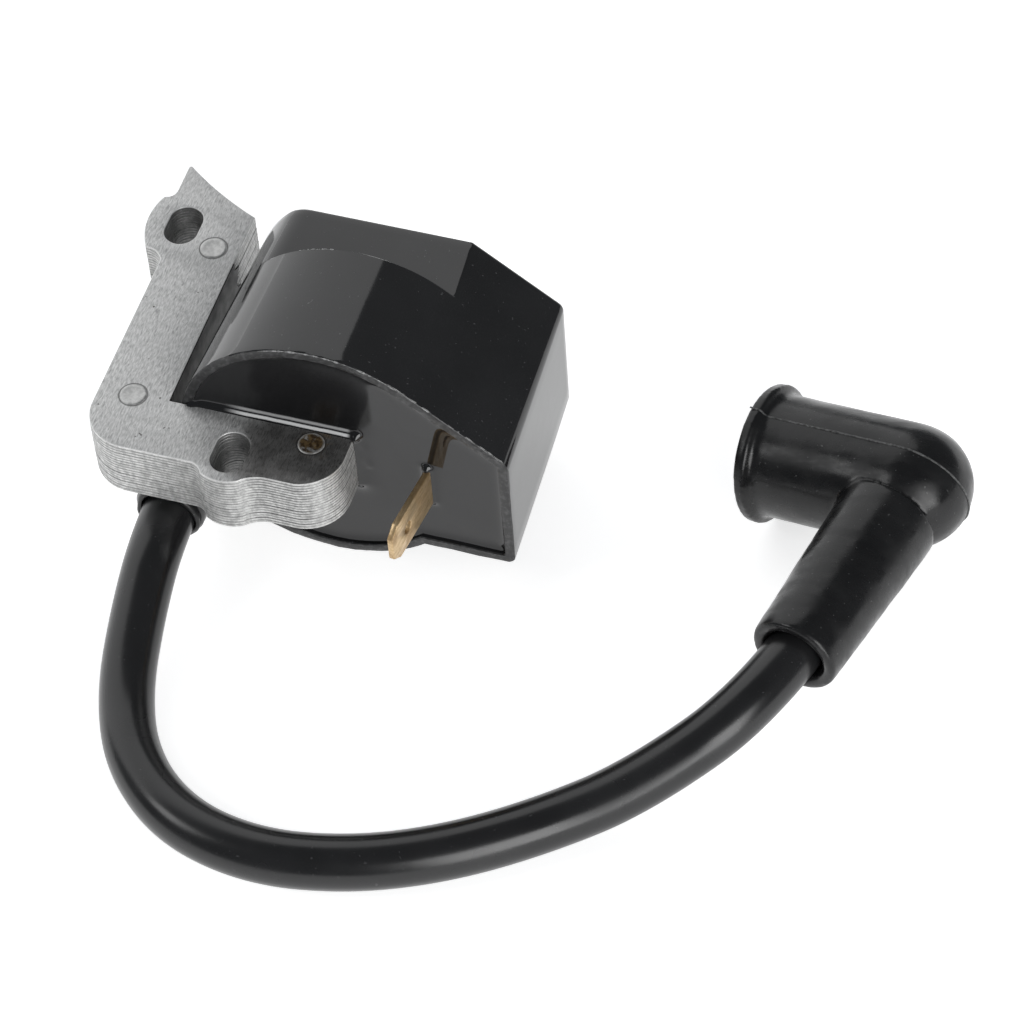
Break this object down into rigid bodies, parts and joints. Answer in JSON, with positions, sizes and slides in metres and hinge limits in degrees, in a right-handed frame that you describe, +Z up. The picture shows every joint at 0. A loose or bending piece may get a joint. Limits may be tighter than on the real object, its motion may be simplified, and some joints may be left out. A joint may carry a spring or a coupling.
{
  "type": "ignition coil",
  "caption": "Potted ignition coil on a riveted laminated core, with a kill terminal and a high-tension lead ending in an angled rubber spark plug boot.",
  "frame": {"origin": "under the middle of the coil module, on the surface it lies on, with the lead and the boot left out", "axes": "+X across the module from the mounting arm towards the kill terminal, +Y from the potted open face towards the flywheel, +Z up"},
  "size_m": [0.112, 0.0912, 0.0378],
  "materials": {
    "core_steel": "satin, stamped electrical sheet with a thin varnish",
    "rivet_steel": "satin",
    "housing_plastic": "gloss",
    "bobbin_plastic": "matt",
    "copper_wire": "enamelled, satin",
    "insulating_film": "gloss",
    "board_laminate": "satin",
    "component_black": "matt",
    "resistor_body": "satin",
    "capacitor_body": "satin",
    "terminal_brass": "satin",
    "potting_epoxy": "mirror gloss",
    "lead_insulation": "gloss",
    "conductor_copper": "stranded, satin",
    "seal_rubber": "satin",
    "boot_rubber": "satin",
    "spring_steel": "satin"
  },
  "bodies": {
    "module": {"core_laminations": "core_steel", "core_rivets": "rivet_steel", "coil_housing": "housing_plastic", "primary_bobbin": "bobbin_plastic", "primary_winding": "copper_wire", "winding_film": "insulating_film", "secondary_bobbin": "bobbin_plastic", "secondary_winding": "copper_wire", "circuit_board": "board_laminate", "power_transistor": "component_black", "control_transistor": "component_black", "diode": "component_black", "resistors": "resistor_body", "capacitor": "capacitor_body", "kill_terminal": "terminal_brass", "earth_strip": "terminal_brass", "ht_contact": "terminal_brass", "potting_compound": "potting_epoxy", "ht_lead": "lead_insulation", "lead_conductor": "conductor_copper", "lead_seal": "seal_rubber"},
    "boot": {"plug_boot": "boot_rubber", "plug_spring": "spring_steel"}
  },
  "joints": [
    {"name": "boot_swivel", "type": "hinge", "parent": "module", "child": "boot", "pos_m": [0.07509, 0.00491, 0.01297], "axis": [0.2322, 0.9727, -0.0063], "range_deg": [-90, 90]}
  ]
}
